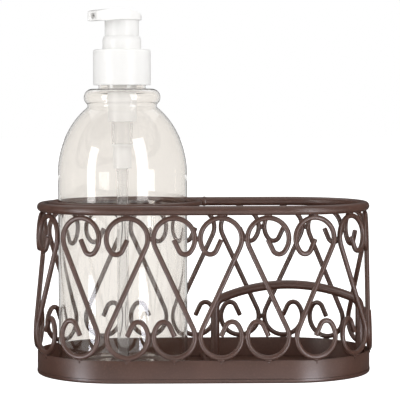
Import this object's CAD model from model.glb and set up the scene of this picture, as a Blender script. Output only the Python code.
from math import acos, asin, atan, cos, pi, radians, sin, sqrt, tan

import bmesh
import bpy
from mathutils import Matrix, Vector, noise


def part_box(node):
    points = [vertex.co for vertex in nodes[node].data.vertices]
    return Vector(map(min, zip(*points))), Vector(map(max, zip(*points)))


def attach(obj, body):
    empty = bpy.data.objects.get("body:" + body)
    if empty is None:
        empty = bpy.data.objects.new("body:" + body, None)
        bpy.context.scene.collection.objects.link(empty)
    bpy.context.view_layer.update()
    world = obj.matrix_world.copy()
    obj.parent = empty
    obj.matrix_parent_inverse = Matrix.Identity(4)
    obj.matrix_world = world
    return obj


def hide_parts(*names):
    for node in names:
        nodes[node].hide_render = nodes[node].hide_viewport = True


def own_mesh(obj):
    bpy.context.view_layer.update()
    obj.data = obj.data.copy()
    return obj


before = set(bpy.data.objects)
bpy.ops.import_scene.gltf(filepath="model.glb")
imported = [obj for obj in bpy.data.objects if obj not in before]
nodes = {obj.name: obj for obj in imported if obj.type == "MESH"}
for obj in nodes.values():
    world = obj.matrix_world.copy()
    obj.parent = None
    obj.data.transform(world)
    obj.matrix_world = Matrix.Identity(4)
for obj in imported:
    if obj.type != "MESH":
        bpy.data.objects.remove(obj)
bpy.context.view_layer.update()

mm = 0.001

# ---------------------------------------------------------------------------------------
# Tray pan: the floor of the caddy, pressed from thin sheet steel with a low upturned lip.
# Like all the metal it is sprayed with a satin bronze paint, which is slightly uneven in
# tone and shows a fine orange peel.
bend_x = 44 * mm
tray_r = 46.5 * mm
pan_t = 1 * mm
pan_lip = 2.1 * mm
pan_corner = 1.2 * mm
pan_edge = 3 * mm  # width of the margin that is drawn round the track; one face fills the rest


def linear(code):
    """The linear colour of an sRGB hex value."""
    parts = [int(code[i:i + 2], 16) / 255 for i in (1, 3, 5)]
    return [p / 12.92 if p <= 0.04045 else ((p + 0.055) / 1.055) ** 2.4 for p in parts] + [1]


def add_node(tree, kind, inputs=(), **settings):
    """Adds a node, with its settings, and with values or links on its inputs."""
    node = tree.nodes.new(kind)
    for name, value in settings.items():
        setattr(node, name, value)
    for name, value in dict(inputs).items():
        if isinstance(value, bpy.types.NodeSocket):
            tree.links.new(value, node.inputs[name])
        else:
            node.inputs[name].default_value = value
    return node


def new_material(name, **shader):
    """A material with one Principled shader; returns it, its tree and the shader."""
    material = bpy.data.materials.new(name)
    material.use_nodes = True
    tree = material.node_tree
    bsdf = tree.nodes["Principled BSDF"]
    for socket, value in shader.items():
        bsdf.inputs[socket.replace("_", " ")].default_value = value
    return material, tree, bsdf


def grain(size):
    """The scale of a noise whose spots are about this many metres across."""
    return 1 / size


def bronze_paint():
    """Sprayed satin paint on steel: brown with a pinkish bloom, slightly uneven in colour."""
    material, tree, bsdf = new_material(
        "sprayed_bronze_paint", Roughness=0.36, Metallic=0.0, IOR=1.5, Specular_IOR_Level=0.75)
    place = add_node(tree, "ShaderNodeTexCoord").outputs["Object"]
    cloud = add_node(tree, "ShaderNodeTexNoise", {
        "Vector": place, "Scale": grain(14 * mm), "Detail": 3.0})
    # Overspray and orange peel are finer in reality; this is as coarse as it takes to show them
    speck = add_node(tree, "ShaderNodeTexNoise", {
        "Vector": place, "Scale": grain(1.1 * mm), "Detail": 2.0})
    tone = add_node(tree, "ShaderNodeMix", {
        "Factor": cloud.outputs["Fac"], 6: linear("#402920"), 7: linear("#583A2F"),
    }, data_type="RGBA")
    dust = add_node(tree, "ShaderNodeMapRange", {
        "Value": speck.outputs["Fac"], "From Min": 0.5, "From Max": 0.75, "To Max": 0.35})
    colour = add_node(tree, "ShaderNodeMix", {
        "Factor": dust.outputs["Result"], 6: tone.outputs[2], 7: linear("#6E4E41"),
    }, data_type="RGBA")
    rough = add_node(tree, "ShaderNodeMapRange", {
        "Value": cloud.outputs["Fac"], "To Min": 0.32, "To Max": 0.42})
    bump = add_node(tree, "ShaderNodeBump", {
        "Height": speck.outputs["Fac"], "Strength": 0.2, "Distance": 0.05 * mm})
    tree.links.new(colour.outputs[2], bsdf.inputs["Base Color"])
    tree.links.new(rough.outputs["Result"], bsdf.inputs["Roughness"])
    tree.links.new(bump.outputs["Normal"], bsdf.inputs["Normal"])
    return material


paint = bronze_paint()


def once(parts):
    """Each part of a mesh once, in the order in which the parts come."""
    return list(dict.fromkeys(parts))


def draw_out(bm, ring, vector):
    """Extrudes the edges of a profile straight along a vector; returns the new profile."""
    made = bmesh.ops.extrude_edge_only(bm, edges=ring)["geom"]
    ends = [v for v in made if isinstance(v, bmesh.types.BMVert)]
    bmesh.ops.translate(bm, verts=ends, vec=vector)
    return [e for e in made if isinstance(e, bmesh.types.BMEdge) and set(e.verts) <= set(ends)]


def bend_round(bm, ring, centre, axis, angle, steps):
    """Spins the edges of a profile round a centre; returns the new profile."""
    verts = once(v for e in ring for v in e.verts)
    made = bmesh.ops.spin(
        bm, geom=verts + ring, cent=centre, axis=axis, dvec=(0, 0, 0), angle=angle,
        steps=steps, use_duplicate=False)
    return [e for e in made["geom_last"] if isinstance(e, bmesh.types.BMEdge)]


def round_the_track(bm, ring, steps=40):
    """Carries a profile, drawn at the left end of the front straight, once round the racetrack."""
    for side in (1, -1):
        ring = draw_out(bm, ring, (2 * bend_x * side, 0, 0))
        ring = bend_round(bm, ring, (bend_x * side, 0, 0), (0, 0, 1), pi, steps)
    bmesh.ops.remove_doubles(bm, verts=bm.verts, dist=0.01 * mm)


def line(bm, points, closed=False):
    """A chain of edges through a few points; returns them."""
    verts = [bm.verts.new(p) for p in points]
    pairs = list(zip(verts, verts[1:])) + ([(verts[-1], verts[0])] if closed else [])
    return [bm.edges.new(pair) for pair in pairs]


def round_corners(bm, verts, width, segments):
    """Rounds corners of a profile by a width, before it is swept or spun."""
    bmesh.ops.bevel(
        bm, geom=verts, offset=width, offset_type="OFFSET", segments=segments, profile=0.5,
        affect="VERTICES", material=-1)


def close_ends(bm):
    """Fills every open rim of the mesh with one face; returns these faces."""
    rims = [e for e in bm.edges if e.is_boundary]
    return bmesh.ops.holes_fill(bm, edges=rims, sides=0)["faces"]


def new_object(bm, name):
    """Makes an object of a finished bmesh."""
    mesh = bpy.data.meshes.new(name)
    bm.to_mesh(mesh)
    bm.free()
    made = bpy.data.objects.new(name, mesh)
    bpy.context.scene.collection.objects.link(made)
    return made


def piece(bm, name, body, slot, material, *replaced, sharp=35):
    """Makes a piece of the part: gives it its finish and lets it ride on its body."""
    bmesh.ops.recalc_face_normals(bm, faces=bm.faces)
    made = new_object(bm, name)
    for face in made.data.polygons:
        face.use_smooth = True
    made.data.set_sharp_from_angle(angle=radians(sharp))
    made.data.materials.append(material)
    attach(made, body)
    if replaced:
        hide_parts(*replaced)
    return made


bm = bmesh.new()
line(bm, [
    (-bend_x, -(tray_r - pan_edge), pan_t),
    (-bend_x, -(tray_r - pan_t), pan_t),
    (-bend_x, -(tray_r - pan_t), pan_lip),
    (-bend_x, -tray_r, pan_lip),
    (-bend_x, -tray_r, 0),
    (-bend_x, -(tray_r - pan_edge), 0),
])
corner = [v for v in bm.verts if v.co.z < mm / 2 and v.co.y < -(tray_r - mm)]
round_corners(bm, corner, pan_corner, 4)
round_the_track(bm, list(bm.edges))
close_ends(bm)
piece(bm, "tray_pan", "caddy", "bronze_paint", paint, "tray_floor")

# ---------------------------------------------------------------------------------------
# Tray wall: a flat steel strip bent to the racetrack, closed by a butt weld and tacked to
# the pan just inside its lip. Its rim is ground smooth, and a fine seam shows at the lip.
wall_r = 46.3 * mm
wall_t = 1.2 * mm
rim_z = 12.1 * mm
rim_round = 0.35 * mm
strip_sink = 0.2 * mm  # how far the strip reaches down behind the pan's lip
seam_h = 0.25 * mm
seam_deep = 0.45 * mm

bm = bmesh.new()
line(bm, [
    (-bend_x, -(wall_r - wall_t), pan_lip - strip_sink),
    (-bend_x, -(wall_r - wall_t), rim_z),
    (-bend_x, -wall_r, rim_z),
    (-bend_x, -wall_r, pan_lip + seam_h),
    (-bend_x, -(wall_r - seam_deep), pan_lip + seam_h),
    (-bend_x, -(wall_r - seam_deep), pan_lip - strip_sink),
], closed=True)
round_corners(bm, [v for v in bm.verts if v.co.z > rim_z - mm / 2], rim_round, 3)
round_the_track(bm, list(bm.edges))
piece(bm, "tray_band", "caddy", "bronze_paint", paint, "tray_wall")

# ---------------------------------------------------------------------------------------
# Top rail: one closed racetrack of thick steel rod, butt-welded at the back. The weld is a
# low uneven bead round the rod, left unground under the paint.
rail_r = 43.65 * mm
rail_z = 90 * mm
rail_rod = 2.45 * mm
joint_x = 1.1 * mm
joint_w = 2 * mm
joint_rise = 0.25 * mm
joint_uneven = 0.5
joint_lumps = 1.3 * mm
joint_cuts = 6


def rod_ring(bm, centre, across, along, radius, sides=16):
    """The round end of a rod; across and along are the directions that span it."""
    matrix = Matrix((across, along, Vector(across).cross(Vector(along)))).transposed().to_4x4()
    matrix.translation = centre
    made = bmesh.ops.create_circle(bm, cap_ends=False, segments=sides, radius=radius, matrix=matrix)
    return once(e for v in made["verts"] for e in v.link_edges)


bm = bmesh.new()
ring = rod_ring(bm, (-bend_x, -rail_r, rail_z), (0, 1, 0), (0, 0, 1), rail_rod, sides=24)
round_the_track(bm, ring, steps=56)
piece(bm, "rail", "caddy", "bronze_paint", paint, "top_rail", sharp=60)

bm = bmesh.new()
joint_end = joint_x - joint_w / 2
ring = rod_ring(bm, (joint_end, rail_r, rail_z), (0, 1, 0), (0, 0, 1), rail_rod, sides=20)
for _ in range(joint_cuts):
    ring = draw_out(bm, ring, (joint_w / joint_cuts, 0, 0))
for v in bm.verts:
    away = Vector((0, v.co.y - rail_r, v.co.z - rail_z))
    swell = joint_rise * sin(pi * (v.co.x - joint_x + joint_w / 2) / joint_w)
    swell *= 1 + joint_uneven * noise.noise(v.co / joint_lumps)
    v.co += away.normalized() * max(swell, 0)
piece(bm, "rail_weld", "caddy", "bronze_paint", paint, "rail_joint", sharp=60)

# ---------------------------------------------------------------------------------------
# Scroll wires: eighteen lengths of 2.7 mm wire, each cold-bent over a jig into a straight
# diagonal with a large loop, a small hook and a tail at both ends. Every second one is
# turned over. They stand on the rim, lean in to the rail and are spot-welded to both.
scroll_count = 18
wire_r = 1.35 * mm
weld_gap = 0.05 * mm
loop_r = 10.76 * mm
hook_r = 3.5 * mm
tail_len = 6.2 * mm
hook_turn = radians(219)
wire_end_round = 0.4 * mm
# Where the hand-set row stands: its leading scroll, and how far the others are off the beat
lead_x = 8.7 * mm
creep = 4.7 * mm
sway = 1.75 * mm
spread = 1.6 * mm
foot_r = wall_r
track = 4 * bend_x + 2 * pi * rail_r
top_z = rail_z - rail_rod - wire_r - weld_gap
foot_z = rim_z + wire_r + weld_gap
lean = atan((foot_r - rail_r) / (top_z - foot_z))
loop_z = (top_z - foot_z) / cos(lean) / 2 - loop_r
slope = asin(loop_r / loop_z)


def scroll_matrix(i):
    """Where scroll i stands: its place along the track, its heading, its lean and its side."""
    turn = 2 * pi * i / scroll_count
    ahead = spread * (1 - cos(2 * turn)) / 2 - creep * (1 - cos(turn)) / 2 - sway * sin(turn)
    s = (bend_x + lead_x + i * track / scroll_count + ahead) % track
    right, back, left = 2 * bend_x, 2 * bend_x + pi * rail_r, 4 * bend_x + pi * rail_r
    if s < right:
        x, turn = s - bend_x, 0
    elif s < back:
        x, turn = bend_x, (s - right) / rail_r
    elif s < left:
        x, turn = bend_x - (s - back), pi
    else:
        x, turn = -bend_x, pi + (s - left) / rail_r
    stand = Matrix.Translation((x, 0, (top_z + foot_z) / 2)) @ Matrix.Rotation(turn, 4, "Z")
    stand = stand @ Matrix.Translation((0, -(foot_r + rail_r) / 2, 0))
    stand = stand @ Matrix.Rotation(-lean, 4, "X")
    return stand @ Matrix.Diagonal((-1 if i % 2 else 1, 1, 1, 1))


def soften(bm, edges, width, segments):
    """Rounds the given edges over by a width."""
    bmesh.ops.bevel(
        bm, geom=edges, offset=width, offset_type="OFFSET", segments=segments, profile=0.5,
        affect="EDGES", material=-1, clamp_overlap=True)


def bend_scroll(bm):
    """Bends one wire, from the tail in its upper loop to the tail in its lower loop."""
    across = Vector((cos(slope), 0, -sin(slope)))
    up = Vector((sin(slope), 0, cos(slope)))
    y = Vector((0, 1, 0))
    loop = Vector((0, 0, loop_z))
    hook = loop + Vector((cos(hook_turn), 0, sin(hook_turn))) * (loop_r - hook_r)
    start = hook + across * hook_r + up * tail_len
    ring = rod_ring(bm, start, across, y, wire_r, sides=14)
    ring = draw_out(bm, ring, -up * tail_len)
    ring = bend_round(bm, ring, hook, (0, 1, 0), 2 * pi - slope - hook_turn, 10)
    ring = bend_round(bm, ring, loop, (0, 1, 0), hook_turn + slope, 32)
    ring = draw_out(bm, ring, -2 * loop_z * cos(slope) * up)
    ring = bend_round(bm, ring, -loop, (0, 1, 0), -hook_turn - slope, 32)
    ring = bend_round(bm, ring, -hook, (0, 1, 0), slope + hook_turn - 2 * pi, 10)
    draw_out(bm, ring, -up * tail_len)
    soften(bm, once(e for face in close_ends(bm) for e in face.edges), wire_end_round, 2)


for i in range(scroll_count):
    bm = bmesh.new()
    bend_scroll(bm)
    bmesh.ops.transform(bm, matrix=scroll_matrix(i), verts=bm.verts)
    number = f"{i + 1:02d}"
    piece(bm, "scroll_wire_" + number, "caddy", "bronze_paint", paint, "scroll_" + number, sharp=60)

# ---------------------------------------------------------------------------------------
# Bottle ring: a circle of 3 mm wire laid just inside the rail and welded to it at the front
# and the back, so that the bottle can't tip.
ring_x = 1.8 * mm - bend_x
ring_z = 91.7 * mm
ring_wire = 1.5 * mm
ring_r = rail_r - sqrt((rail_rod + ring_wire + weld_gap) ** 2 - (ring_z - rail_z) ** 2)


def turned(bm, axis_x, steps=96):
    """Spins the profile that the bmesh holds, drawn in the XZ plane, round an upright axis."""
    bmesh.ops.spin(
        bm, geom=list(bm.verts) + list(bm.edges), cent=(axis_x, 0, 0), axis=(0, 0, 1),
        dvec=(0, 0, 0), angle=2 * pi, steps=steps, use_merge=True, use_duplicate=False)
    bmesh.ops.remove_doubles(bm, verts=bm.verts, dist=0.01 * mm)


bm = bmesh.new()
rod_ring(bm, (ring_x + ring_r, 0, ring_z), (1, 0, 0), (0, 0, 1), ring_wire, sides=16)
turned(bm, ring_x, 120)
piece(bm, "bottle_hoop", "caddy", "bronze_paint", paint, "bottle_ring", sharp=60)

# ---------------------------------------------------------------------------------------
# Sponge arch: 4.8 mm rod bent to two short corners and one long crown, with both legs welded
# to the pan. It stands a sponge on edge in the right half of the caddy.
arch_rod = 2.4 * mm
arch_left = 6.3 * mm
arch_z = 46.9 * mm
crown_r = 92 * mm
corner_r = 6 * mm
arch_gap = 0.2 * mm
end_wire_x = bend_x + rail_r + (top_z - arch_z) * (foot_r - rail_r) / (top_z - foot_z)
arch_right = end_wire_x - wire_r - arch_gap - arch_rod
half_span = (arch_right - arch_left) / 2
arch_x = (arch_right + arch_left) / 2
corner_x = half_span - corner_r
corner_z = arch_z - crown_r + sqrt((crown_r - corner_r) ** 2 - corner_x ** 2)
crown_turn = asin(corner_x / (crown_r - corner_r))

bm = bmesh.new()
ring = rod_ring(bm, (arch_right, 0, pan_t), (1, 0, 0), (0, 1, 0), arch_rod, sides=16)
ring = draw_out(bm, ring, (0, 0, corner_z - pan_t))
ring = bend_round(bm, ring, (arch_x + corner_x, 0, corner_z), (0, -1, 0), pi / 2 - crown_turn, 8)
ring = bend_round(bm, ring, (arch_x, 0, arch_z - crown_r), (0, -1, 0), 2 * crown_turn, 24)
ring = bend_round(bm, ring, (arch_x - corner_x, 0, corner_z), (0, -1, 0), pi / 2 - crown_turn, 8)
draw_out(bm, ring, (0, 0, pan_t - corner_z))
piece(bm, "arch", "caddy", "bronze_paint", paint, "sponge_arch", sharp=60)

# ---------------------------------------------------------------------------------------
# Floor wire: a thin cross wire that lies on the pan between the bottle and the arch, a
# little askew, and is welded to the wall at both ends.
floor_r = 1.25 * mm
floor_turn = radians(3.3)
floor_x = arch_left - (arch_rod + floor_r + weld_gap) / cos(floor_turn)
floor_len = 2 * (wall_r - wall_t - weld_gap)

bm = bmesh.new()
ring = rod_ring(bm, (0, -floor_len / 2, 0), (1, 0, 0), (0, 0, 1), floor_r, sides=12)
draw_out(bm, ring, (0, floor_len, 0))
close_ends(bm)
lying = Matrix.Translation((floor_x, 0, pan_t + floor_r)) @ Matrix.Rotation(floor_turn, 4, "Z")
bmesh.ops.transform(bm, matrix=lying, verts=bm.verts)
piece(bm, "cross_wire", "caddy", "bronze_paint", paint, "floor_wire", sharp=60)

# ---------------------------------------------------------------------------------------
# Weld spots: where a wire meets the rail, the rim, the next loop or the pan, a small nugget
# of weld joins them. Below each scroll's foot the paint has run over it down the wall.
# Sizes are half a nugget's length along its wire, its depth and its height.
top_weld = (2.1 * mm, 1.0 * mm, 0.75 * mm)
foot_weld = (1.9 * mm, 0.8 * mm, 0.7 * mm)
loop_weld = (0.75 * mm, 0.8 * mm, 1.5 * mm)
hoop_weld = (2.4 * mm, 0.8 * mm, 0.8 * mm)
cross_weld = (1.5 * mm, 0.7 * mm, 1.3 * mm)
leg_weld = (arch_rod + 0.9 * mm, arch_rod + 0.8 * mm, 0.9 * mm)
paint_run = (0.5 * mm, 0.3 * mm, 0.7 * mm)
run_slip = 0.8 * mm
run_drop = 1.3 * mm
run_sink = 0.05 * mm
hoop_sink = 0.1 * mm
hoop_rise = 0.5 * mm
cross_sink = 0.5 * mm
leg_rise = 0.3 * mm
weld_reach = 2 * wire_r + 0.8 * mm  # loops that come this near to each other are welded
weld_uneven = 0.14
weld_lumps = 0.9 * mm
half_height = (top_z - foot_z) / cos(lean) / 2


def nugget(bm, place, size, turn, seed):
    """A slightly uneven blob of weld under the paint."""
    shape = Matrix.Translation(place) @ Matrix.Rotation(turn, 4, "Z") @ Matrix.Diagonal((*size, 1))
    blob = bmesh.ops.create_icosphere(bm, subdivisions=2, radius=1, matrix=shape)["verts"]
    for v in blob:
        lump = noise.noise(v.co / weld_lumps + Vector((seed, 0, 0)))
        v.co += (v.co - Vector(place)) * weld_uneven * lump


def nearest_side(stand, beside, end):
    """The point of one scroll's loop that lies nearest to the loop of the scroll beside it."""
    sides = [stand @ Vector((side * loop_r, 0, end)) for side in (1, -1)]
    return min(sides, key=lambda point: (point - beside @ Vector((0, 0, end))).length)


bm = bmesh.new()
for i in range(scroll_count):
    stand, beside = scroll_matrix(i), scroll_matrix((i + 1) % scroll_count)
    heading = stand.to_euler().z
    nugget(bm, stand @ Vector((0, 0, half_height + wire_r)), top_weld, heading, i)
    nugget(bm, stand @ Vector((0, 0, -half_height - wire_r)), foot_weld, heading, i + 20)
    slip = run_slip * noise.noise(Vector((i, 0.5, 0)))
    run = stand @ Vector((slip, -run_sink, -half_height - wire_r - run_drop - slip / 2))
    nugget(bm, run, paint_run, heading, i + 40)
    for end in (loop_z, -loop_z):
        here, there = nearest_side(stand, beside, end), nearest_side(beside, stand, end)
        if (here - there).length < weld_reach:
            nugget(bm, (here + there) / 2, loop_weld, heading, i + 60)
for side in (1, -1):
    hoop_z = (ring_z + rail_z) / 2 + hoop_rise
    nugget(bm, (ring_x, side * (ring_r + ring_wire - hoop_sink), hoop_z), hoop_weld, 0, side)
    end_x = floor_x - side * tan(floor_turn) * floor_len / 2
    end = (end_x, side * (floor_len / 2 - cross_sink), pan_t + floor_r)
    nugget(bm, end, cross_weld, 0, side + 4)
for leg in (arch_left, arch_right):
    nugget(bm, (leg, 0, pan_t + leg_rise), leg_weld, 0, leg)
piece(bm, "weld_spots", "caddy", "bronze_paint", paint, sharp=60)

# ---------------------------------------------------------------------------------------
# Bottle: clear PET, stretch-blown in one piece with a 1.2 mm wall, a hollow foot, a domed
# shoulder, a rounded bead that stiffens the neck, and an injection-moulded screw finish.
bottle_x = 0.3 * mm - bend_x
bottle_r = 35 * mm
bottle_wall = 1.2 * mm
foot_round = 4 * mm
push_up = 2 * mm
land_r = bottle_r - 3 * foot_round
shoulder_z = 107 * mm
dome_h = 43.3 * mm
waist_r = 18.7 * mm
waist_h = 1.5 * mm
bead_r = 4.6 * mm
bead_out = 20.7 * mm
join_round = 0.7 * mm
waist_turn = acos(waist_r / bottle_r)
waist_z = shoulder_z + dome_h * sin(waist_turn)
bead_turn = acos((waist_r - bead_out + bead_r) / bead_r)
bead_z = waist_z + waist_h + bead_r * sin(bead_turn)
neck_r = 12.7 * mm
neck_h = 17.3 * mm
neck_z = bead_z + bead_r + neck_h
neck_plain = 1.2 * mm  # the plain stretch above the thread
thread_h = 12 * mm
thread_out = 1 * mm
thread_z = neck_z - neck_plain - thread_h


def clear_plastic():
    """Blown PET: clear, glossy and very slightly warm, with faint flow marks in its wall."""
    material, tree, bsdf = new_material(
        "blown_clear_pet", Base_Color=linear("#F9F6F2"), Roughness=0.02, IOR=1.57,
        Transmission_Weight=1.0)
    place = add_node(tree, "ShaderNodeTexCoord").outputs["Object"]
    # Blowing draws the flow marks out along the bottle's height
    drawn = add_node(tree, "ShaderNodeMapping", {"Vector": place, "Scale": (1, 1, 0.25)})
    wave = add_node(tree, "ShaderNodeTexNoise", {
        "Vector": drawn.outputs["Vector"], "Scale": grain(9 * mm), "Detail": 1.0})
    bump = add_node(tree, "ShaderNodeBump", {
        "Height": wave.outputs["Fac"], "Strength": 0.03, "Distance": 0.2 * mm})
    tree.links.new(bump.outputs["Normal"], bsdf.inputs["Normal"])
    return material


pet = clear_plastic()


def profile(*points):
    """Places points of a profile, given as radius and height, beside the bottle's axis."""
    return [(bottle_x + radius, 0, z) for radius, z in points]


def arc_line(bm, start, centre, angle, steps, stretch=1):
    """An arc of a profile, turned clockwise as the camera sees it; returns its two ends."""
    start, centre = profile(start, centre)
    drawn_before = set(bm.verts)
    first = bm.verts.new(start)
    out = bmesh.ops.spin(
        bm, geom=[first], cent=centre, axis=(0, 1, 0), dvec=(0, 0, 0), angle=angle,
        steps=steps, use_duplicate=False)
    last = [v for v in out["geom_last"] if isinstance(v, bmesh.types.BMVert)][0]
    if stretch != 1:
        arc = [v for v in bm.verts if v not in drawn_before]
        level = Matrix.Translation(-Vector(centre))
        bmesh.ops.scale(bm, vec=(1, 1, stretch), space=level, verts=arc)
    return first, last


bm = bmesh.new()
base = line(bm, profile(
    (0, pan_t + push_up), (land_r - push_up, pan_t + push_up), (land_r, pan_t)))
heel_r = bottle_r - foot_round
heel = arc_line(bm, (heel_r, pan_t), (heel_r, pan_t + foot_round), -pi / 2, 8)
dome = arc_line(
    bm, (bottle_r, shoulder_z), (0, shoulder_z), -waist_turn, 28, dome_h / bottle_r)
bead = arc_line(
    bm, (waist_r, bead_z - bead_r * sin(bead_turn)), (bead_out - bead_r, bead_z),
    -(pi / 2 + bead_turn), 16)
neck = line(bm, profile(
    (neck_r, bead_z + bead_r),
    (neck_r, thread_z),
    (neck_r + thread_out, thread_z + thread_out),
    (neck_r + thread_out, thread_z + thread_h - thread_out),
    (neck_r, thread_z + thread_h),
    (neck_r, neck_z),
))
neck_foot = neck[0].verts[0]
between = (
    (base[-1].verts[1], heel[0]), (heel[1], dome[0]), (dome[1], bead[0]), (bead[1], neck_foot),
)
for pair in between:
    bm.edges.new(pair)
round_corners(bm, [dome[1], bead[0], neck_foot], join_round, 4)
turned(bm, bottle_x, 128)
bottle = piece(
    bm, "bottle_shell", "bottle_body", "clear_plastic", pet,
    "bottle", "bottle_shoulder", "bottle_bead", "bottle_neck", sharp=60)
wall = bottle.modifiers.new("wall", "SOLIDIFY")
wall.thickness = bottle_wall
wall.offset = -1
wall.use_even_offset = True
# Light falls through the clear wall on what is inside, so it throws no shadow there
bottle.visible_shadow = False
bottle.visible_diffuse = False

# ---------------------------------------------------------------------------------------
# Pump engine: injection-moulded parts in the neck and the bottle. The sleeve and the stem
# are natural polypropylene, which is milky; the cylinder and the dip tube are clearer.
def moulded(name, colour, rough, **shader):
    """An injection-moulded plastic with the slight unevenness of its mould's surface."""
    material, tree, bsdf = new_material(
        name, Base_Color=linear(colour), Roughness=rough, **shader)
    place = add_node(tree, "ShaderNodeTexCoord").outputs["Object"]
    skin = add_node(tree, "ShaderNodeTexNoise", {
        "Vector": place, "Scale": grain(4 * mm), "Detail": 3.0})
    bump = add_node(tree, "ShaderNodeBump", {
        "Height": skin.outputs["Fac"], "Strength": 0.12, "Distance": 0.05 * mm})
    tree.links.new(bump.outputs["Normal"], bsdf.inputs["Normal"])
    return material


# Uncoloured polypropylene: crystals in it scatter light, so the eye sees it as milky
natural = moulded("natural_polypropylene", "#F8F7F5", 0.35, IOR=1.49, Transmission_Weight=0.1)
# A clarified grade of the same, which the eye sees through. The real one bends light by
# 1.49; with 1.3 its edges stay lighter, which is nearer to the photograph
clear = moulded("clear_polypropylene", "#FFFFFF", 0.06, IOR=1.3, Transmission_Weight=0.92)
# Filled with white pigment: satin, and light sinks in a little, which softens its shadows
white = moulded(
    "white_polypropylene", "#F4F3F1", 0.3, IOR=1.49, Subsurface_Weight=0.3,
    Subsurface_Scale=2 * mm, Subsurface_Radius=(1.0, 1.0, 1.0))
# Soft and dull, so it shows as a plain grey-white band without a highlight
seal = moulded("soft_seal_rubber", "#DAD8D3", 0.6, IOR=1.5)


def drawn_steel():
    """Bright drawn stainless steel, of spring wire and a valve ball: a mirror with faint marks."""
    material, tree, bsdf = new_material(
        "bright_stainless_steel", Base_Color=linear("#C6C6C8"), Metallic=1.0)
    place = add_node(tree, "ShaderNodeTexCoord").outputs["Object"]
    # The marks of the drawing die are finer; this is as coarse as it takes to show them
    marks = add_node(tree, "ShaderNodeTexNoise", {"Vector": place, "Scale": grain(0.8 * mm)})
    rough = add_node(tree, "ShaderNodeMapRange", {
        "Value": marks.outputs["Fac"], "To Min": 0.18, "To Max": 0.32})
    tree.links.new(rough.outputs["Result"], bsdf.inputs["Roughness"])
    return material


steel = drawn_steel()
finishes = {
    "pump_housing": natural, "stem_guide": natural, "pump_stem": natural,
    "pump_cylinder": clear, "dip_tube": clear, "valve_cup": white,
    "gasket": seal, "piston": seal, "valve_ball": steel,
}
for name, finish in finishes.items():
    nodes[name].data.materials.clear()
    nodes[name].data.materials.append(finish)

# The return spring stands on the ledge in the sleeve, and the pressed stem shortens it
bm = bmesh.new()
bm.from_mesh(nodes["return_spring"].data)
bmesh.ops.remove_doubles(bm, verts=bm.verts, dist=mm / 1000)
spring = piece(bm, "spring_coil", "pump_engine", "steel", steel, "return_spring")
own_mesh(spring)

# ---------------------------------------------------------------------------------------
# Screw cap: smooth white polypropylene, with a softly rounded top edge and a small lead-in
# at its foot. It holds the pump's flange down on the neck.
cap_r = 15.58 * mm
cap_bore = 13.78 * mm
cap_hole = 10.5 * mm
cap_foot, cap_z = (corner.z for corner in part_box("screw_cap"))
cap_t = 1.2 * mm
cap_round = 1.2 * mm
cap_lead = 0.35 * mm

bm = bmesh.new()
line(bm, profile(
    (cap_hole, cap_z), (cap_r, cap_z), (cap_r, cap_foot), (cap_bore, cap_foot),
    (cap_bore, cap_z - cap_t), (cap_hole, cap_z - cap_t),
), closed=True)
side_x = bottle_x + cap_r - mm / 10
top = [v for v in bm.verts if v.co.x > side_x and v.co.z > cap_z - mm]
round_corners(bm, top, cap_round, 6)
foot = [v for v in bm.verts if v.co.x > side_x and v.co.z < cap_foot + mm]
round_corners(bm, foot, cap_lead, 3)
turned(bm, bottle_x)
piece(bm, "cap", "screw_cap_body", "white_plastic", white, "screw_cap")

# ---------------------------------------------------------------------------------------
# Lock collar: the white ring that the pump's head slides in; its top tapers to a thin lip.
# It is moulded of white polypropylene and stands on the flange of the pump's sleeve.
collar_r = 10.45 * mm
collar_bore = 9.35 * mm
collar_foot, collar_top = (corner.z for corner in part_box("lock_collar"))
lip_r = 9.65 * mm
taper_h = 2.1 * mm
taper_round = 0.3 * mm

bm = bmesh.new()
line(bm, profile(
    (collar_bore, collar_foot), (collar_r, collar_foot), (collar_r, collar_top - taper_h),
    (lip_r, collar_top), (collar_bore, collar_top),
), closed=True)
bore_x = bottle_x + collar_bore + mm / 10
taper = [v for v in bm.verts if v.co.x > bore_x and v.co.z > collar_foot + mm]
round_corners(bm, taper, taper_round, 3)
turned(bm, bottle_x)
piece(bm, "collar", "pump_engine", "white_plastic", white, "lock_collar")

# ---------------------------------------------------------------------------------------
# Pump head: one white moulding. Its top is a rounded teardrop that rises to a ridge and
# falls to the blunt spout; the skirt under it slides in the collar.
head_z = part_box("pump_stem")[1].z
skirt_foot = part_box("pump_head")[0].z
disc_r = 10.7 * mm
skirt_r = 9.2 * mm
skirt_t = 1 * mm
skirt_sink = 0.5 * mm  # how far the skirt reaches up into the head
# Along the spout, from the axis to the tip
reach = 19.5 * mm
spout_half = 6 * mm
tip_round = 2 * mm
spout_turn = radians(220)
drop_from = disc_r - 2 * mm
drop_len = 7 * mm
drop = 0.8 * mm
# Heights of the head's top: at its rear, at the ridge, which lies at the peak, and at the tip
rear = 1.8 * mm
ridge = 5.6 * mm
peak = 10 * mm
tip_top = 4.2 * mm
rear_bend = 1.85
blank_h = 4 * mm
cuts = range(-10, 19)
edge_round = 0.9 * mm
nozzle_r = 1.5 * mm
nozzle_z = 1.7 * mm
drill_len = 16 * mm
drill_x = reach - 7 * mm
head_place = Matrix.Translation((bottle_x, 0, head_z)) @ Matrix.Rotation(spout_turn, 4, "Z")


def cylinder(bm, radius, length, matrix, sides):
    """A solid cylinder about the place that the matrix gives."""
    bmesh.ops.create_cone(
        bm, cap_ends=True, segments=sides, radius1=radius, radius2=radius, depth=length,
        matrix=matrix)


def head_top(along):
    """Height of the head's top at a distance along the spout."""
    if along < peak:
        return rear + (ridge - rear) * (1 - ((peak - along) / (peak + disc_r)) ** rear_bend)
    return ridge - (ridge - tip_top) * ((along - peak) / (reach - peak)) ** 2


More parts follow.
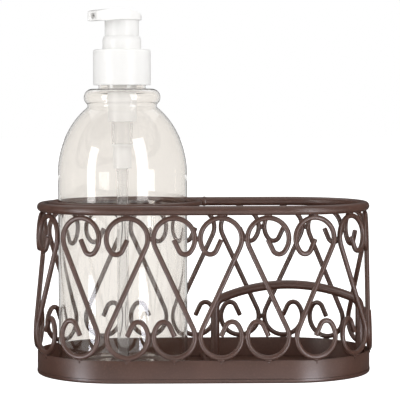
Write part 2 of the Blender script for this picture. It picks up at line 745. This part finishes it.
# A flat teardrop, cut in slices of a millimetre so that its top and its foot can bend
bm = bmesh.new()
cylinder(bm, disc_r, blank_h, Matrix.Translation((0, 0, blank_h / 2)), 48)
for side in (1, -1):
    corner = (reach - tip_round, side * (spout_half - tip_round), blank_h / 2)
    cylinder(bm, tip_round, blank_h, Matrix.Translation(corner), 16)
hull = bmesh.ops.convex_hull(bm, input=bm.verts, use_existing_faces=False)
left_over = once(hull["geom_interior"] + hull["geom_unused"])
within = [part for part in left_over if isinstance(part, bmesh.types.BMVert)]
bmesh.ops.delete(bm, geom=within, context="VERTS")
bmesh.ops.dissolve_limit(bm, angle_limit=radians(1), verts=bm.verts, edges=bm.edges)
for cut in cuts:
    bmesh.ops.bisect_plane(
        bm, geom=list(bm.verts) + list(bm.edges) + list(bm.faces), plane_co=(cut * mm, 0, 0),
        plane_no=(1, 0, 0), dist=0.01 * mm)
for v in bm.verts:
    if v.co.z > blank_h / 2:
        v.co.z = head_top(v.co.x)
    else:
        fall = min(max((v.co.x - drop_from) / drop_len, 0), 1)
        v.co.z = -drop * fall * fall * (3 - 2 * fall)
rim = [e for e in bm.edges if len(e.link_faces) == 2 and e.calc_face_angle(0) > radians(50)]
soften(bm, rim, edge_round, 4)
bmesh.ops.transform(bm, matrix=head_place, verts=bm.verts)
head = piece(bm, "head_top", "head_body", "white_plastic", white, "pump_head")

# The nozzle is drilled into the tip
bm = bmesh.new()
bored = Matrix.Translation((drill_x, 0, nozzle_z)) @ Matrix.Rotation(pi / 2, 4, "Y")
cylinder(bm, nozzle_r, drill_len, bored, 32)
bmesh.ops.transform(bm, matrix=head_place, verts=bm.verts)
drill = new_object(bm, "drill")
nozzle = head.modifiers.new("nozzle", "BOOLEAN")
nozzle.object = drill
nozzle.operation = "DIFFERENCE"
nozzle.solver = "EXACT"
bpy.context.view_layer.update()
finished = head.evaluated_get(bpy.context.evaluated_depsgraph_get())
drilled = bpy.data.meshes.new_from_object(finished)
head.modifiers.clear()
head.data = drilled
bpy.data.objects.remove(drill)

bm = bmesh.new()
line(bm, profile(
    (skirt_r - skirt_t, head_z + skirt_sink), (skirt_r, head_z + skirt_sink),
    (skirt_r, skirt_foot), (skirt_r - skirt_t, skirt_foot),
), closed=True)
turned(bm, bottle_x)
piece(bm, "head_skirt", "head_body", "white_plastic", white)

# ---------------------------------------------------------------------------------------
# Studio: a plain pale floor that runs into a white background, and upright softboxes between
# dull grey flags, which the clear plastic and the paint reflect.
room_light = 0.52
floor_glow = 0.9
floor_drop = 5 * mm
left_at, right_at = radians(-56), radians(36)
glow_z, glow_h = -0.25, 0.36
aim = Vector((0, 0, 0.09))
upright = Matrix.Rotation(pi / 2, 4, "X")
sideways = Matrix.Rotation(pi / 2, 4, "Y")


def empty_tree(owner):
    """Clears the node tree of a world or a material and returns it."""
    owner.use_nodes = True
    owner.node_tree.nodes.clear()
    return owner.node_tree


def background_ray(tree):
    """Is 1 where the ray that asks should see the white background."""
    path = add_node(tree, "ShaderNodeLightPath").outputs
    seen = add_node(tree, "ShaderNodeMath", {
        0: path["Is Camera Ray"], 1: path["Is Glossy Ray"]}, operation="MAXIMUM")
    seen = add_node(tree, "ShaderNodeMath", {
        0: seen.outputs[0], 1: path["Is Transmission Ray"]}, operation="MAXIMUM")
    return seen.outputs[0]


world = bpy.data.worlds.new("studio")
bpy.context.scene.world = world
tree = empty_tree(world)
room = add_node(tree, "ShaderNodeBackground", {"Color": linear("#FFFFFF"), "Strength": room_light})
bright = add_node(tree, "ShaderNodeBackground", {"Color": linear("#FFFFFF"), "Strength": 1.0})
both = add_node(tree, "ShaderNodeMixShader", {
    0: background_ray(tree), 1: room.outputs[0], 2: bright.outputs[0]})
add_node(tree, "ShaderNodeOutputWorld", {"Surface": both.outputs[0]})


def stage_card(name, material, matrix, size):
    """A flat piece of the studio that isn't part of the object."""
    bm = bmesh.new()
    shape = matrix @ Matrix.Diagonal((*size, 1, 1))
    bmesh.ops.create_grid(bm, x_segments=1, y_segments=1, size=0.5, matrix=shape)
    made = new_object(bm, name)
    made.data.materials.append(material)
    return made


def only_reflected(card):
    """Leaves a card to the reflections: the camera and the light pass through it."""
    card.visible_camera = card.visible_diffuse = False
    card.visible_shadow = card.visible_transmission = False


white_card = bpy.data.materials.new("white_card")
tree = empty_tree(white_card)
matt = add_node(tree, "ShaderNodeBsdfDiffuse", {"Color": linear("#E6E6E6")})
glow = add_node(tree, "ShaderNodeEmission", {"Color": linear("#FFFFFF"), "Strength": floor_glow})
lit = add_node(tree, "ShaderNodeAddShader", {0: matt.outputs[0], 1: glow.outputs[0]})
plain = add_node(tree, "ShaderNodeEmission", {"Color": linear("#FFFFFF"), "Strength": 1.0})
direct = add_node(tree, "ShaderNodeLightPath").outputs["Is Camera Ray"]
seen = add_node(tree, "ShaderNodeMixShader", {0: direct, 1: plain.outputs[0], 2: lit.outputs[0]})
both = add_node(tree, "ShaderNodeMixShader", {
    0: background_ray(tree), 1: matt.outputs[0], 2: seen.outputs[0]})
add_node(tree, "ShaderNodeOutputMaterial", {"Surface": both.outputs[0]})
floor = stage_card("floor", white_card, Matrix.Identity(4), (12, 12))
# What is glossy looks through the floor, at the cards and the flag that lie below its level
floor.visible_glossy = False

# Grey felt is dull and takes no highlight, so it puts a plain grey in the reflections
grey_card = new_material("grey_felt", Base_Color=linear("#7C7C7C"), Roughness=1.0)[0]
# Each flag's place and its size, in metres
flags = {
    "front_flag": (Matrix.Translation((0, -1.7, 1)) @ upright, (3.4, 2.0)),
    "left_flag": (Matrix.Translation((-1.7, 0.6, 1)) @ sideways, (2.0, 4.6)),
    "right_flag": (Matrix.Translation((1.7, 0.6, 1)) @ sideways, (2.0, 4.6)),
    "top_flag": (Matrix.Translation((0, -0.7, 2)), (3.4, 2.0)),
    "back_flag": (Matrix.Translation((0, 2.6, 1)) @ upright, (3.4, 2.0)),
    "floor_flag": (Matrix.Translation((0, 1.2, -floor_drop)), (4.6, 2.5)),
}
for name, (matrix, size) in flags.items():
    only_reflected(stage_card(name, grey_card, matrix, size))

# Below the floor's level the softboxes go on as glowing cards, brighter towards their foot,
# so that the highlights on the bottle and the tray reach further down
glow_card = bpy.data.materials.new("glow_card")
glow_card.cycles.emission_sampling = "NONE"
tree = empty_tree(glow_card)
at = add_node(tree, "ShaderNodeSeparateXYZ", {
    0: add_node(tree, "ShaderNodeTexCoord").outputs["Object"]})
rising = add_node(tree, "ShaderNodeMapRange", {
    0: at.outputs["Z"], "From Min": -0.13, "From Max": -0.06, "To Min": 13.0, "To Max": 2.5})
glow = add_node(tree, "ShaderNodeEmission", {
    "Color": linear("#F4F6FF"), "Strength": rising.outputs[0]})
add_node(tree, "ShaderNodeOutputMaterial", {"Surface": glow.outputs[0]})
for name, azimuth, width in (("left_glow", left_at, 0.24), ("right_glow", right_at, 0.3)):
    hung = Matrix.Rotation(azimuth, 4, "Z") @ Matrix.Translation((0, -1, glow_z)) @ upright
    only_reflected(stage_card(name, glow_card, hung, (width, glow_h)))


def aim_lamp(lamp):
    """Turns a lamp towards the middle of the object."""
    lamp.rotation_euler = (aim - lamp.location).to_track_quat("-Z", "Y").to_euler()


def softbox(name, azimuth, low, high, width, power):
    """An upright softbox a metre away; its azimuth counts from the camera, to the right."""
    light = bpy.data.lights.new(name, "AREA")
    light.shape = "RECTANGLE"
    light.size, light.size_y = width, high - low
    light.energy = power
    lamp = bpy.data.objects.new(name, light)
    lamp.location = (sin(azimuth), -cos(azimuth), (low + high) / 2)
    aim_lamp(lamp)
    bpy.context.scene.collection.objects.link(lamp)
    return lamp


softbox("left_softbox", left_at, low=0.0, high=0.62, width=0.28, power=2.5)
softbox("right_softbox", right_at, low=0.0, high=0.95, width=0.42, power=4.3)
top_lamp = softbox("top_softbox", 0, low=0.9, high=1.7, width=1.0, power=1.9)
top_lamp.location = (-0.15, -0.35, 1.3)
aim_lamp(top_lamp)
top_lamp.visible_transmission = False
# It shines on everything but the bottle, where it would glare on the shoulder
shaded = bpy.data.collections.new("shaded_from_above")
shaded.objects.link(bottle)
shaded.collection_objects[0].light_linking.link_state = "EXCLUDE"
top_lamp.light_linking.receiver_collection = shaded
for name, azimuth, power in (("left_fill", -75, 1.7), ("right_fill", 85, 2.6)):
    fill = softbox(name, radians(azimuth), low=0.0, high=0.8, width=0.6, power=power)
    fill.visible_glossy = fill.visible_transmission = False

# ---------------------------------------------------------------------------------------
# Camera of the photograph: its place, its aim and its focal length were fitted to the
# ellipses of the rail and the tray's rim and to the outline of the tray.
picture_px = 400
focal_px = 1772.3
sensor_mm = 36
eye = (-0.01143, -0.9605, 0.1465)
yaw, dip, roll = -0.0101, 0.0555, -0.0029

lens = bpy.data.cameras.new("camera")
lens.sensor_width = sensor_mm
lens.lens = focal_px / picture_px * sensor_mm
camera = bpy.data.objects.new("camera", lens)
camera.matrix_world = (
    Matrix.Translation(eye) @ Matrix.Rotation(yaw, 4, "Z")
    @ Matrix.Rotation(pi / 2 - dip, 4, "X") @ Matrix.Rotation(roll, 4, "Z")
)
bpy.context.scene.collection.objects.link(camera)
bpy.context.scene.camera = camera
bpy.context.scene.view_settings.view_transform = "Standard"
